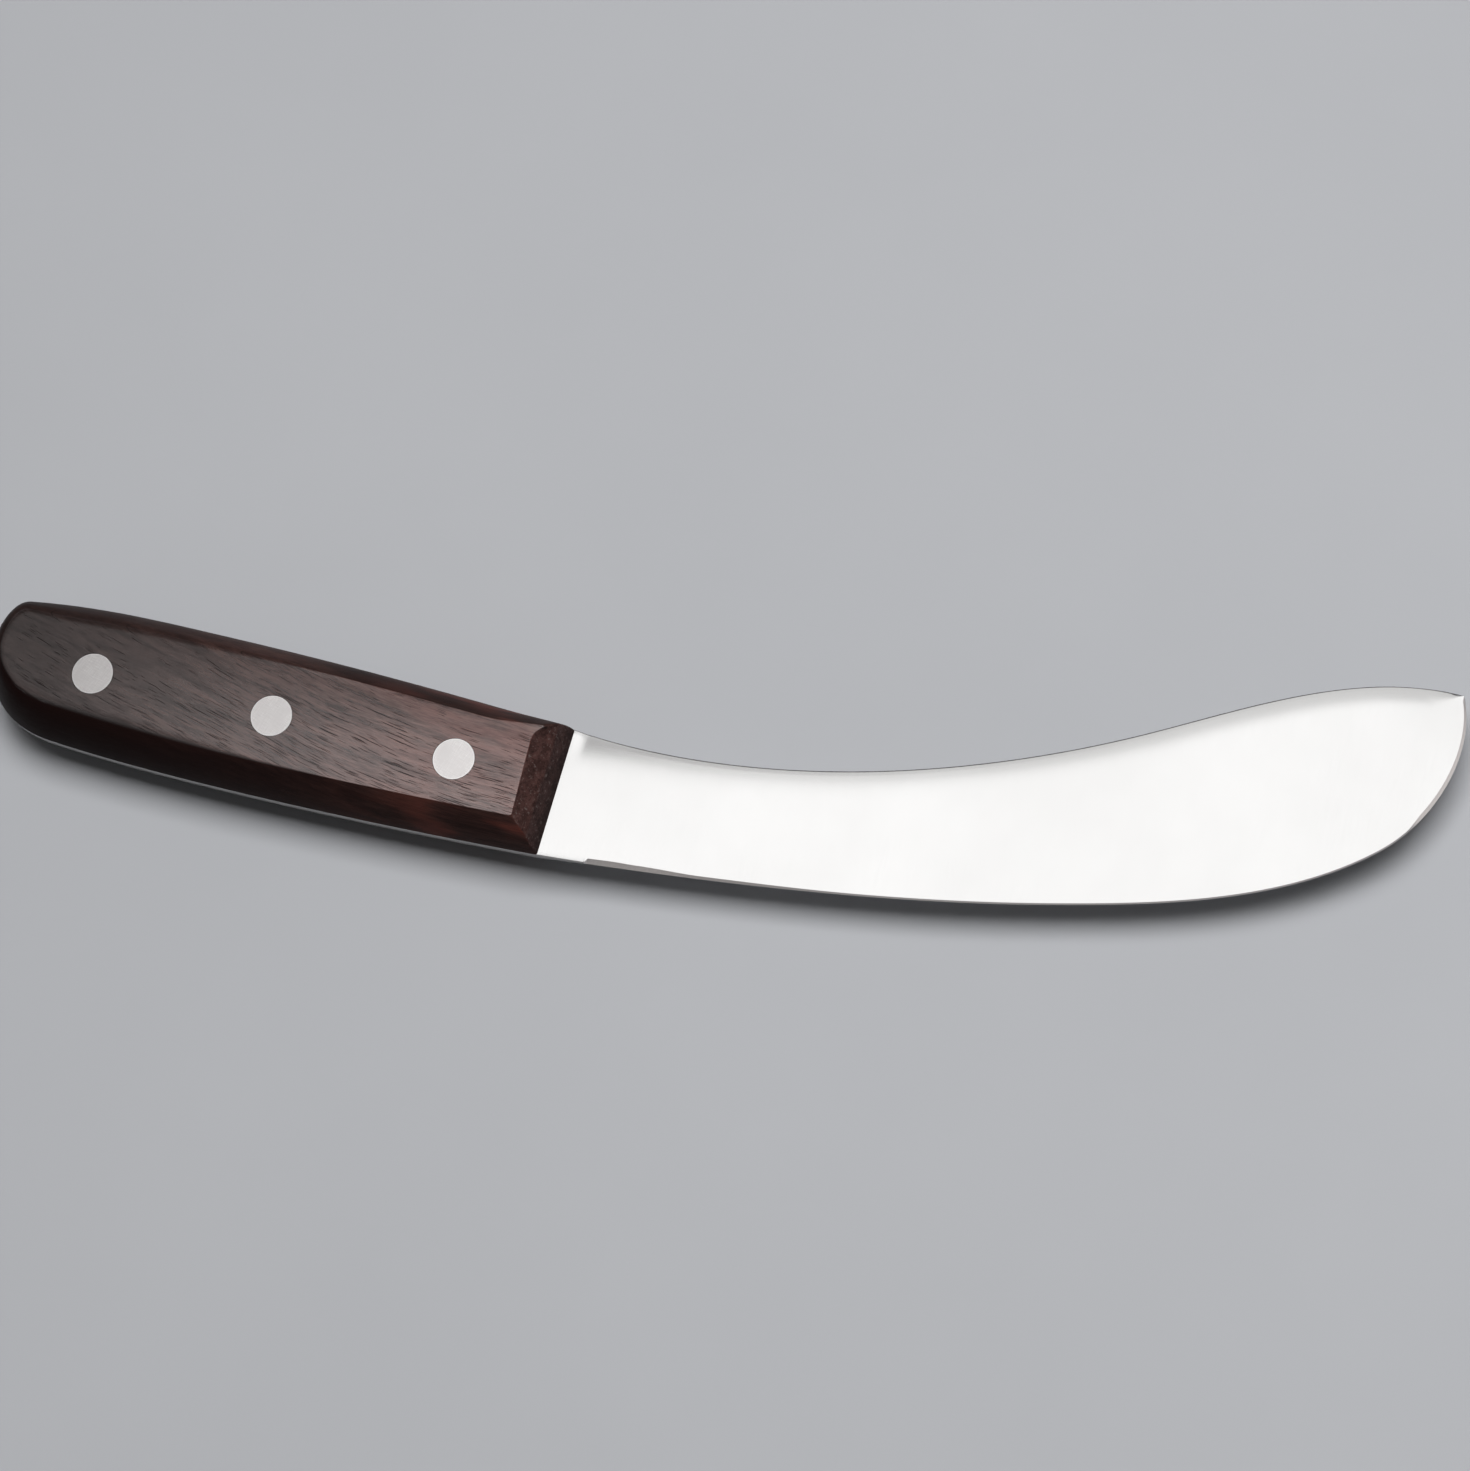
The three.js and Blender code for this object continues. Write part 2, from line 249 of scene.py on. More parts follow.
# Pores: width, length and shift of each size, how their layers shift with the grain's depth and below
# the right face, how close their patches lie, and where and how much denser they grow
PORE_SIZES = ((0.42, 18.0, 0.0), (0.36, 12.0, 3.7), (0.28, 7.0, 7.4))
PORE_DIVE = 0.7
PORE_SPREAD = 1.8
PORE_PATCHES = (0.05, 0.22, 1.0)
DENSER_Y = (9.0, -4.0)
DENSER_BY = 0.45
# How high fibres and rough end grain stand, with a pore one deep, and how much a pore dulls the polish
FIBRE_RELIEF = 0.4
SPECKLE_RELIEF = 1.5
PORE_DULLNESS = 0.7
# End grain: colours of the facets, the upper one lighter as painted light, and colours and strengths
# of dots, pits and the painted shade at the foot beside the blade
LOW_FACET_TONES = ((0.38, (0.038, 0.021, 0.0195)), (0.62, (0.066, 0.0365, 0.034)))
LIT_HIGH_FACET_TONES = ((0.38, (0.044, 0.0215, 0.019)), (0.62, (0.08, 0.039, 0.0345)))
DOT_COLOUR = (0.2, 0.16, 0.15)
DOT_SHARE = 0.55
PIT_COLOUR = (0.014, 0.008, 0.007)
PIT_SHARE = 0.6
FOOT_PAINTED_SHADE = (0.012, 0.009, 0.009)
FOOT_SHARE = 0.55
FOOT_HEIGHT = 3.5

# Studio colours, and those of the surroundings by height: what lights the knife, and what polish shows
PAPER_TONES = ((0.3, (0.553, 0.563, 0.589)), (0.7, (0.573, 0.583, 0.609)))
PAPER_FAR_PAINTED_SHADE = (0.88, 0.88, 0.88)
BACKGROUND = (0.43, 0.44, 0.46)
AMBIENT_TONES = ((0.15, 0.28), (0.55, 0.06))
REFLECTED_TONES = ((0.4, (0.56, 0.57, 0.59)), (0.62, 0.06))
# Paper, in metres: its half width, the stretch over which painted shade darkens its far side and the
# slope of that across the scene, and the distances between which it passes into the background
PAPER_REACH = 4.0
FAR_SIDE = (0.25, -0.25)
FAR_SIDE_SLOPE = -0.35
BACKDROP = (0.35, 1.0)
# Lamps, in metres: name, place, size, radiance, and turn in degrees
KEY_LAMP = ("key", (0.08, 0.28, 1.15), (0.85, 0.65), 7.4, 0)
CARDS = (
    ("card", (-0.0546, 0.2084, 1.0), (0.74, 0.345), 1.5, 18),
    ("left_card", (-1.0, 0.15, 1.0), (1.2, 0.6), 0.24, 0),
    ("back_card", (0.12, 0.7, 1.0), (0.9, 0.55), 0.85, 18),
    ("right_card", (0.95, 0.3, 1.0), (1.2, 1.2), 1.1, 0),
    ("front_card", (-0.2, -0.75, 1.0), (0.8, 1.4), 0.42, 0),
)
# Camera: place in knife coordinates, axes in the scene's frame, sensor in millimetres, near limit in
# metres, and the photograph's height and the focal length in pixels
CAMERA_PLACE = (174.5, -184.5, 713.8)
CAMERA_RIGHT = (0.9557, 0.2693, -0.1187)
CAMERA_UP = (-0.2215, 0.9237, 0.3127)
SENSOR_WIDTH = 36.0
NEAR_LIMIT = 0.01
PHOTO_HEIGHT = 1471
FOCAL_PIXELS = 4000


def to_scene(point):
    """A knife point in scene metres."""
    x, y, z = point
    return (FRONT_X + x * MM, RIVET_Y + y * MM, z * MM)


def mix(start, end, share):
    return start + (end - start) * share


def clamp(value):
    return min(max(value, 0.0), 1.0)


def smooth_step(low, high, value):
    share = clamp((value - low) / (high - low))
    return share * share * (3 - 2 * share)


def value_at(marks, place, column=1):
    """A value that changes smoothly between marks. Each mark is a place and one or more values."""
    value = marks[0][column]
    for before, after in zip(marks, marks[1:]):
        value = mix(value, after[column], smooth_step(before[0], after[0], place))
    return value


# Smooth curves through knots


def knot(x, y, heading):
    """A point of an outline and its direction there, from a heading in degrees."""
    angle = math.radians(heading)
    return Vector((x, y)), Vector((math.cos(angle), math.sin(angle)))


def curve_between(start, end):
    """Bezier points between two knots, with handles a third of the way long."""
    (first, leave), (last, arrive) = start, end
    reach = (last - first).length / 3
    return first, first + leave * reach, last - arrive * reach, last


def curves_through(places):
    """Curves from each knot to the next."""
    knots = [knot(*place) for place in places]
    return [curve_between(start, end) for start, end in zip(knots, knots[1:])]


def on_curve(curve, share):
    first, leave, arrive, last = curve
    rest = 1 - share
    return (first * rest ** 3 + leave * (3 * rest * rest * share)
            + arrive * (3 * rest * share * share) + last * share ** 3)


def points_along(curves, counts):
    """Points along curves, with a count of steps for each."""
    points = [curves[0][0]]
    for curve, count in zip(curves, counts):
        points += [on_curve(curve, step / count) for step in range(1, count + 1)]
    return points


class Path:
    """Curves end to end, whose points are found by their share of the whole length."""

    def __init__(self, curves):
        self.curves = curves
        self.marks = [(0.0, 0, 0.0)]
        for number, curve in enumerate(curves):
            before = curve[0]
            for step in range(1, PATH_STEPS + 1):
                here = on_curve(curve, step / PATH_STEPS)
                travelled = self.marks[-1][0] + (here - before).length
                self.marks.append((travelled, number, step / PATH_STEPS))
                before = here
        self.length = self.marks[-1][0]

    def at(self, share):
        target = share * self.length
        low, high = 0, len(self.marks) - 1
        while high - low > 1:
            middle = (low + high) // 2
            if self.marks[middle][0] <= target:
                low = middle
            else:
                high = middle
        start, _, share_before = self.marks[low]
        end, number, share_after = self.marks[high]
        # The end of one curve is the start of the next
        if share_before == 1.0:
            share_before = 0.0
        within = mix(share_before, share_after, (target - start) / (end - start))
        return on_curve(self.curves[number], within)


BACK = curves_through(BACK_KNOTS)
BELLY = curves_through(BELLY_KNOTS)
SPINE = Path(curves_through(SPINE_KNOTS))
EDGE = Path(curves_through(EDGE_KNOTS))


# Mesh helpers


def new_mesh(name, points, faces):
    """A mesh through knife points, with its faces pointing out."""
    mesh = bpy.data.meshes.new(name)
    mesh.from_pydata([to_scene(point) for point in points], [], faces)
    work = bmesh.new()
    work.from_mesh(mesh)
    bmesh.ops.recalc_face_normals(work, faces=work.faces)
    work.to_mesh(mesh)
    work.free()
    return mesh


def new_piece(name, points, faces, node):
    """A mesh object that stands for a node of the frame."""
    piece = bpy.data.objects.new(name, new_mesh(name, points, faces))
    bpy.context.scene.collection.objects.link(piece)
    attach(piece, "root")
    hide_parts(node)
    return piece


def skin_rings(rings):
    """Points and quads of a tube through closed rings of equal length."""
    count = len(rings[0])
    points = [point for ring in rings for point in ring]
    faces = []
    for number in range(len(rings) - 1):
        here, there = number * count, (number + 1) * count
        for i in range(count):
            following = (i + 1) % count
            faces.append((here + i, here + following, there + following, there + i))
    return points, faces


def turned_body(profile, centre):
    """A closed body turned round an upright axis, from (radius, height) pairs between its end faces."""
    rings = []
    for radius, height in profile:
        ring = []
        for step in range(TURN_STEPS):
            angle = 2 * math.pi * step / TURN_STEPS
            x = centre[0] + radius * math.cos(angle)
            y = centre[1] + radius * math.sin(angle)
            ring.append((x, y, height))
        rings.append(ring)
    points, faces = skin_rings(rings)
    last = len(points) - TURN_STEPS
    faces.append(tuple(range(TURN_STEPS - 1, -1, -1)))
    faces.append(tuple(range(last, last + TURN_STEPS)))
    return points, faces


def cut_away(piece, profile, centres):
    """Cuts turned holes through a piece."""
    for centre in centres:
        mesh = new_mesh("cutter", *turned_body(profile, centre))
        cutter = bpy.data.objects.new("cutter", mesh)
        bpy.context.scene.collection.objects.link(cutter)
        boolean = piece.modifiers.new("hole", "BOOLEAN")
        boolean.operation = "DIFFERENCE"
        boolean.solver = "EXACT"
        boolean.object = cutter
        evaluated = piece.evaluated_get(bpy.context.evaluated_depsgraph_get())
        applied = bpy.data.meshes.new_from_object(evaluated)
        piece.modifiers.remove(boolean)
        old = piece.data
        piece.data = applied
        applied.name = old.name
        bpy.data.meshes.remove(old)
        bpy.data.objects.remove(cutter)
        bpy.data.meshes.remove(mesh)


def soften(piece):
    """Smooth shading, with creases where faces meet at more than the crease angle."""
    piece.data.polygons.foreach_set("use_smooth", [True] * len(piece.data.polygons))
    piece.data.set_sharp_from_angle(angle=CREASE_ANGLE)


def rivet_centres():
    centres = []
    for place in RIVETS:
        low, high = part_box(place + "_rivet_male")
        middle = (low + high) / 2
        centres.append(((middle.x - FRONT_X) / MM, (middle.y - RIVET_Y) / MM))
    return centres


# Blade


def half_section(width, half):
    """Right side of one steel section: (across, height) from the spine's middle to the edge."""
    corner = half["corner"]
    top = half["spine"] - half["roll"]
    bevel = half["bevel"]
    shoulder_at = width - bevel
    roll_end = min(half["roll_width"], shoulder_at * ROLL_LIMIT)

    def face(across):
        share = across / width
        return mix(half["spine"], half["edge"], share) + half["crown"] * math.sin(math.pi * share)

    row = [(0.0, 0.0)]
    for step in range(ROUND_STEPS + 1):
        angle = QUARTER_TURN * step / ROUND_STEPS
        row.append((corner * (1 - math.cos(angle)), top - corner + corner * math.sin(angle)))
    for step in range(1, ROLL_STEPS + 1):
        across = mix(corner, roll_end, step / ROLL_STEPS)
        lift = (roll_end - across) / (roll_end - corner)
        row.append((across, face(across) - half["roll"] * lift * lift))
    for step in range(1, FACE_STEPS + 1):
        across = mix(roll_end, shoulder_at, step / FACE_STEPS)
        row.append((across, face(across)))
    shoulder = face(shoulder_at)
    for step in range(1, ROUND_STEPS + 1):
        share = step / ROUND_STEPS
        angle = QUARTER_TURN * share
        round_point = (shoulder_at + bevel * math.sin(angle), shoulder - bevel * (1 - math.cos(angle)))
        sharp_point = (mix(shoulder_at, width, share), mix(shoulder, BLUNT_HALF, share))
        row.append(tuple(mix(a, b, half["sharp"]) for a, b in zip(round_point, sharp_point)))
    row.append((width, 0.0))
    return row


def steel_ring(upper, lower, half):
    """A whole section of the steel: down its right side and back up its left one."""
    width = (upper - lower).length
    row = half_section(width, half)
    ring = []
    for across, height in row:
        point = upper.lerp(lower, across / width)
        ring.append((point.x, point.y, TANG_MIDDLE + height))
    for across, height in reversed(row[1:-1]):
        point = upper.lerp(lower, across / width)
        ring.append((point.x, point.y, TANG_MIDDLE - height))
    return ring


def tang_rings():
    """Sections of the tang from the butt to the handle front, with even thickness."""
    half = {
        "spine": TANG_HALF,
        "edge": TANG_HALF,
        "roll_width": ROLL_WIDTHS[0][1],
        "roll": 0.0,
        "corner": TANG_CORNER,
        "crown": 0.0,
        "bevel": TANG_CORNER,
        "sharp": 0.0,
    }
    pairs = list(zip(points_along(BACK, TANG_BACK_STEPS), points_along(BELLY, TANG_BELLY_STEPS)))
    return [steel_ring(upper, lower, half) for upper, lower in reversed(pairs)]


def blade_half(share):
    """Sizes of the blade's section at a share of its length."""
    upper, lower = SPINE.at(share), EDGE.at(share)
    width = (upper - lower).length
    ahead = lower.x
    unground = max(0.0, 1 - ahead / GRIND_RUN_OUT) ** 2
    sharp = smooth_step(RICASSO, RICASSO + BEVEL_RISE, ahead)
    bevel = mix(TANG_CORNER, value_at(BEVEL_WIDTHS, ahead), sharp)
    tip = smooth_step(TIP_FROM, 1.0, share)
    roll_width = value_at(ROLL_WIDTHS, upper.x)
    full_roll = ROLL_SLOPE * roll_width / 2
    return {
        "spine": mix(mix(TANG_HALF, SPINE_TIP_HALF, share), POINT_HALF, tip),
        "edge": mix(EDGE_HALF, TANG_HALF, unground),
        "roll_width": roll_width,
        "roll": full_roll * smooth_step(0, ROLL_START, ahead) * (1 - tip / 2),
        "corner": min(mix(SPINE_CORNER, TANG_CORNER, unground), width * CORNER_LIMIT),
        "crown": FACE_CROWN * (1 - unground) * (1 - tip),
        "bevel": min(bevel, width * BEVEL_LIMIT),
        "sharp": sharp,
    }


def blade_shares():
    """Shares of the blade's length at its sections, closer where the bevel starts and at the tip."""
    heel = (RICASSO - BEVEL_MARGIN) / EDGE.length
    sharp = (RICASSO + BEVEL_RISE + BEVEL_MARGIN) / EDGE.length
    shares = [heel * step / HEEL_STEPS for step in range(1, HEEL_STEPS + 1)]
    shares += [mix(heel, sharp, step / BEVEL_START_STEPS) for step in range(1, BEVEL_START_STEPS + 1)]
    shares += [mix(sharp, TIP_FROM, step / BLADE_STEPS) for step in range(1, BLADE_STEPS + 1)]
    for step in range(1, TIP_STEPS + 1):
        crowded = 1 - (1 - step / TIP_STEPS) ** TIP_CROWDING
        shares.append(mix(TIP_FROM, TIP_END, crowded))
    return shares


def end_strips(first, count):
    """Closes an end ring of the steel with strips between its right and left side."""
    strips = []
    for i in range(count // 2):
        corners = [i, (count - i) % count, count - i - 1, i + 1]
        strips.append(tuple(first + corner for corner in dict.fromkeys(corners)))
    return strips


def crease_shoulder(piece, count, first_sharp):
    """A crisp line along the upper side of the bevel."""
    lines = (SHOULDER, count - SHOULDER)
    creased = piece.data.attributes["sharp_edge"].data
    for edge in piece.data.edges:
        start, end = sorted(edge.vertices)
        station, place = divmod(start, count)
        if end - start == count and place in lines and station >= first_sharp:
            creased[edge.index].value = True


def part_steel(piece, count, first_sharp):
    """Gives the bevel the second material, and spine, tang edge and unsharpened heel the third."""
    for polygon in piece.data.polygons:
        station, place = divmod(min(polygon.vertices), count)
        from_spine = min(place, count - 1 - place)
        if station >= first_sharp and SHOULDER <= from_spine < SHOULDER + ROUND_STEPS:
            polygon.material_index = 1
        spine_rim = from_spine <= ROUND_STEPS
        edge_rim = from_spine >= SHOULDER and station < first_sharp
        butt_end = max(polygon.vertices) < count
        if spine_rim or edge_rim or butt_end:
            polygon.material_index = 2


def make_blade():
    tang = tang_rings()
    shares = blade_shares()
    blade = [steel_ring(SPINE.at(share), EDGE.at(share), blade_half(share)) for share in shares]
    points, faces = skin_rings(tang + blade)
    count = len(tang[0])
    faces += end_strips(0, count)
    faces += end_strips(len(points) - count, count)
    piece = new_piece("blade_polished", points, faces, "blade")
    soften(piece)
    unsharpened = [share for share in shares if blade_half(share)["sharp"] == 0]
    first_sharp = len(tang) + len(unsharpened)
    crease_shoulder(piece, count, first_sharp)
    part_steel(piece, count, first_sharp)
    return piece


# Scales


def side_levels(x, marks):
    """(inset, height) pairs up a side: a long arc that leans in from the tang, then the rounded arris."""
    lean = math.radians(value_at(marks, -x, 1))
    angle = math.radians(value_at(marks, -x, 2))
    arris = value_at(marks, -x, 3)
    arc_height = SIDE_HEIGHT - arris * (1 - math.sin(angle))
    long_arc = arc_height / (math.sin(angle) - math.sin(lean))
    levels = []
    for step in range(ARC_STEPS + 1):
        turn = mix(lean, angle, step / ARC_STEPS)
        levels.append((long_arc * (math.cos(lean) - math.cos(turn)),
                       long_arc * (math.sin(turn) - math.sin(lean))))
    inset, height = levels[-1]
    for step in range(1, ARRIS_STEPS + 1):
        turn = mix(angle, QUARTER_TURN, step / ARRIS_STEPS)
        levels.append((inset + arris * (math.cos(angle) - math.cos(turn)),
                       height + arris * (math.sin(turn) - math.sin(angle))))
    return levels


def front_setback(y, height, arris_from):
    """How far the front end lies behind the handle front. Its upper facet stands steeper by the spine."""
    low_slope = FACET_SETBACK / FACET_HEIGHT
    flare = clamp((y - FLARE_FROM) / (FLARE_TO - FLARE_FROM))
    top = FRONT_SETBACK + FRONT_SKEW * y - FLARE * flare ** 2
    high_slope = (top - FACET_SETBACK) / (SIDE_HEIGHT - FACET_HEIGHT)

    def facets(at):
        over = (at - FACET_HEIGHT) / CREASE_SOFTNESS
        swell = CREASE_SOFTNESS * (max(over, 0.0) + math.log1p(math.exp(-abs(over))))
        return low_slope * at + (high_slope - low_slope) * swell

    if height <= arris_from:
        return facets(height)
    angle = math.atan(high_slope)
    arris = (SIDE_HEIGHT - arris_from) / (1 - math.sin(angle))
    sine = min(1.0, math.sin(angle) + (height - arris_from) / arris)
    return facets(arris_from) + arris * (math.cos(angle) - math.sqrt(1 - sine * sine))


def move_in(point, distance):
    """Moves a point of the handle outline inwards, round the butt towards one focus."""
    ahead = point.x - BUTT_FOCUS
    focus = BUTT_FOCUS + (ahead + math.hypot(ahead, FOCUS_SOFTNESS)) / 2
    return point + (Vector((focus, 0.0)) - point).normalized() * distance


def side_points(curves, counts, marks, level):
    """One side of a ring at a level, from its front corner to the butt."""
    front_levels = side_levels(0.0, marks)
    front_inset, front_height = front_levels[level]
    arris_from = front_levels[ARC_STEPS][1]
    corner = move_in(curves[0][0], front_inset)
    setback = front_setback(corner.y, front_height, arris_from) + CORNER_RADIUS
    start = setback / abs(curves[0][3].x)
    places = [on_curve(curves[0], mix(start, 1.0, step / counts[0])) for step in range(counts[0] + 1)]
    places += points_along(curves[1:], counts[1:])[1:]
    points = []
    for place in places:
        inset, height = side_levels(place.x, marks)[level]
        moved = move_in(place, inset)
        points.append((moved.x, moved.y, height))
    points[0] = (-setback, points[0][1], front_height)
    return points


def corner_points(corner, towards):
    """The rounded corner between a side and the front end, from the side on."""
    x, y, height = corner
    points = []
    for step in range(1, ROUND_STEPS + 1):
        angle = QUARTER_TURN * step / ROUND_STEPS
        aside = towards * CORNER_RADIUS * (1 - math.cos(angle))
        points.append((x + CORNER_RADIUS * math.sin(angle), y + aside, height))
    return points


def rung(start, end):
    """Points between two points of a ring, without these two."""
    start, end = Vector(start), Vector(end)
    return [tuple(start.lerp(end, step / RUNG_STEPS)) for step in range(1, RUNG_STEPS)]


def scale_ring(level):
    """One closed ring round a scale: back, front end, belly and butt, heights above the tang."""
    back = side_points(BACK, BACK_STEPS, SPINE_SIDE, level)
    belly = side_points(BELLY, BELLY_STEPS, EDGE_SIDE, level)
    back_corner = corner_points(back[0], -1)
    belly_corner = corner_points(belly[0], 1)
    back_arris = side_levels(0.0, SPINE_SIDE)[ARC_STEPS][1]
    belly_arris = side_levels(0.0, EDGE_SIDE)[ARC_STEPS][1]
    start, end = Vector(back_corner[-1]), Vector(belly_corner[-1])
    front = []
    for step in range(1, FRONT_STEPS):
        share = step / FRONT_STEPS
        _, y, height = start.lerp(end, share)
        arris_from = mix(back_arris, belly_arris, share)
        front.append((-front_setback(y, height, arris_from), y, height))
    return back[::-1] + back_corner + front + belly_corner[::-1] + belly + rung(belly[-1], back[-1])


def add_cap(points, faces, start, ring):
    """Closes a ring of a scale with rungs from its back to its belly, between front end and butt."""
    side = sum(BACK_STEPS)
    belly_front = side + RUNG_STEPS
    ahead = [start + place for place in range(side, belly_front + 1)]
    for step in range(1, side + 1):
        back, belly = side - step, belly_front + step
        if step < side:
            inner = list(range(len(points), len(points) + RUNG_STEPS - 1))
            points += rung(ring[back], ring[belly])
        else:
            inner = [start + place for place in range(len(ring) - 1, belly, -1)]
        behind = [start + back, *inner, start + belly]
        faces += [(ahead[k], ahead[k + 1], behind[k + 1], behind[k]) for k in range(RUNG_STEPS)]
        ahead = behind


def crowned(point):
    """Raises the flat a little towards the rivet line."""
    x, y, z = point
    rise = max(0.0, 1 - (y / CROWN_REACH) ** 2)
    return x, y, z + FLAT_CROWN * rise * (z / SIDE_HEIGHT) ** CROWN_FADE


def make_scale(name, node, base, side):
    """A wooden scale: base is the tang's face, side is 1 upwards and -1 downwards."""
    rings = [scale_ring(level) for level in range(ARC_STEPS + 1 + ARRIS_STEPS)]
    points, faces = skin_rings(rings)
    last = len(points) - len(rings[-1])
    add_cap(points, faces, 0, rings[0])
    add_cap(points, faces, last, rings[-1])
    points = [(x, y, base + side * z) for x, y, z in map(crowned, points)]
    piece = new_piece(name, points, faces, node)
    near = base - side * DRILL_OVERRUN
    seat = base + side * (SCALE_HEIGHT - HEAD_THICKNESS)
    far = base + side * (SCALE_HEIGHT + DRILL_OVERRUN)
    shank = BARREL_RADIUS + RIVET_GAP
    wide = HEAD_RADIUS + RIVET_GAP
    cut_away(piece, [(shank, near), (shank, seat), (wide, seat), (wide, far)], rivet_centres())
    soften(piece)
    return piece


# Rivets


def male_profile():
    """The solid half: its pin, and its head flush with the right scale."""
    seat = RIGHT_FACE - HEAD_THICKNESS
    return [
        (PIN_RADIUS, LEFT_FACE + BORE_FLOOR + RIVET_GAP),
        (PIN_RADIUS, seat),
        (HEAD_RADIUS, seat),
        (HEAD_RADIUS, RIGHT_FACE - RIM_CHAMFER),
        (HEAD_RADIUS - RIM_CHAMFER, RIGHT_FACE),
    ]


def female_profile():
    """The tubular half: its head flush with the left scale, its barrel and the blind bore."""
    seat = LEFT_FACE + HEAD_THICKNESS
    barrel_end = RIGHT_FACE - HEAD_THICKNESS - RIVET_GAP
    return [
        (HEAD_RADIUS - RIM_CHAMFER, LEFT_FACE),
        (HEAD_RADIUS, LEFT_FACE + RIM_CHAMFER),
        (HEAD_RADIUS, seat),
        (BARREL_RADIUS, seat),
        (BARREL_RADIUS, barrel_end),
        (BORE_RADIUS, barrel_end),
        (BORE_RADIUS, LEFT_FACE + BORE_FLOOR),
    ]


def make_rivet(place, centre):
    """The two halves of one rivet."""
    pieces = []
    for kind, profile in (("male", male_profile()), ("female", female_profile())):
        points, faces = turned_body(profile, centre)
        node = place + "_rivet_" + kind
        piece = new_piece(node + "_turned", points, faces, node)
        soften(piece)
        pieces.append(piece)
    return pieces


# Materials


class Nodes:
    """A short way to write node trees."""

    def __init__(self, tree):
        self.tree = tree
        tree.nodes.clear()

    def add(self, kind, inputs=None, **settings):
        node = self.tree.nodes.new(kind)
        for name, value in settings.items():
            setattr(node, name, value)
        for name, value in (inputs or {}).items():
            self.put(node.inputs[name], value)
        return node

    def put(self, socket, value):
        """Links an output to a socket, or sets its value. A colour is given without its alpha."""
        if isinstance(value, bpy.types.NodeSocket):
            self.tree.links.new(value, socket)
        elif socket.type == "RGBA":
            socket.default_value = (*value, 1.0)
        else:
            socket.default_value = value

    def math(self, operation, *values):
        node = self.add("ShaderNodeMath", operation=operation)
        for socket, value in zip(node.inputs, values):
            self.put(socket, value)
        return node.outputs[0]

    def plus(self, first, second):
        return self.math("ADD", first, second)

    def minus(self, first, second):
        return self.math("SUBTRACT", first, second)

    def times(self, first, second):
        return self.math("MULTIPLY", first, second)

    def line(self, value, slope, start):
        """start, plus slope times the value."""
        return self.math("MULTIPLY_ADD", value, slope, start)

    def soft_range(self, value, low, high):
        """0 at low and before it, 1 at high and past it, smooth between."""
        node = self.add("ShaderNodeMapRange", {"Value": value, "From Min": low, "From Max": high},
                        interpolation_type="SMOOTHSTEP")
        return node.outputs["Result"]

    def ramp(self, value, *stops):
        """Blends colours along a value. Each stop is a position and a grey or a colour."""
        node = self.add("ShaderNodeValToRGB", {"Fac": value})
        elements = node.color_ramp.elements
        while len(elements) < len(stops):
            elements.new(1.0)
        for element, (position, colour) in zip(elements, stops):
            element.position = position
            element.color = (*colour, 1) if isinstance(colour, tuple) else (colour, colour, colour, 1)
        return node.outputs["Color"]

    def blend(self, share, first, second, kind="MIX"):
        node = self.add("ShaderNodeMix", data_type="RGBA", blend_type=kind)
        self.put(node.inputs["Factor"], share)
        self.put(node.inputs["A"], first)
        self.put(node.inputs["B"], second)
        return node.outputs["Result"]

    def noise(self, vector, scale, detail=2.0, roughness=0.5):
        node = self.add("ShaderNodeTexNoise", {
            "Vector": vector, "Scale": scale, "Detail": detail, "Roughness": roughness})
        return node.outputs["Fac"]

    def object_place(self):
        return self.add("ShaderNodeTexCoord").outputs["Object"]

    def millimetres(self):
        """Knife coordinates of the shaded point."""
        shifted = self.add("ShaderNodeVectorMath", operation="SUBTRACT")
        self.put(shifted.inputs[0], self.object_place())
        self.put(shifted.inputs[1], (FRONT_X, RIVET_Y, 0.0))
        scaled = self.add("ShaderNodeVectorMath", operation="SCALE")
        self.put(scaled.inputs[0], shifted.outputs[0])
        self.put(scaled.inputs["Scale"], 1 / MM)
        return scaled.outputs[0]

    def split(self, vector):
        node = self.add("ShaderNodeSeparateXYZ", {"Vector": vector})
        return node.outputs["X"], node.outputs["Y"], node.outputs["Z"]

    def join(self, x, y, z):
        return self.add("ShaderNodeCombineXYZ", {"X": x, "Y": y, "Z": z}).outputs[0]

    def stretch(self, vector, factors):
        """Multiplies each coordinate by its own factor."""
        node = self.add("ShaderNodeVectorMath", {0: vector, 1: factors}, operation="MULTIPLY")
        return node.outputs[0]

    def bump(self, height, strength, distance):
        return self.add("ShaderNodeBump", {
            "Height": height, "Strength": strength, "Distance": distance}).outputs["Normal"]

    def shader(self, **inputs):
        node = self.add("ShaderNodeBsdfPrincipled")
        for name, value in inputs.items():
            self.put(node.inputs[name.replace("_", " ")], value)
        return node.outputs[0]

    def mix_shaders(self, share, first, second):
        node = self.add("ShaderNodeMixShader", {"Fac": share, 1: first, 2: second})
        return node.outputs[0]

    def finish(self, shader):
        self.add("ShaderNodeOutputMaterial", {"Surface": shader})

    def surface(self, **inputs):
        self.finish(self.shader(**inputs))


def new_material(name):
    material = bpy.data.materials.new(name)
    material.use_nodes = True
    return material, Nodes(material.node_tree)


def polished_steel():
    """Satin-polished stainless steel with faint hairlines from spine to edge."""
    material, nodes = new_material("polished_steel")
    place = nodes.millimetres()
    hairlines = nodes.noise(nodes.stretch(place, HAIRLINES), scale=1.0, detail=3.0)
    clouds = nodes.noise(place, scale=0.05)
    nodes.surface(Base_Color=nodes.ramp(clouds, *POLISHED_TONES), Metallic=1.0,
                  Roughness=nodes.line(hairlines, slope=0.08, start=0.13),
                  Normal=nodes.bump(hairlines, strength=0.03, distance=0.00001))
    return material


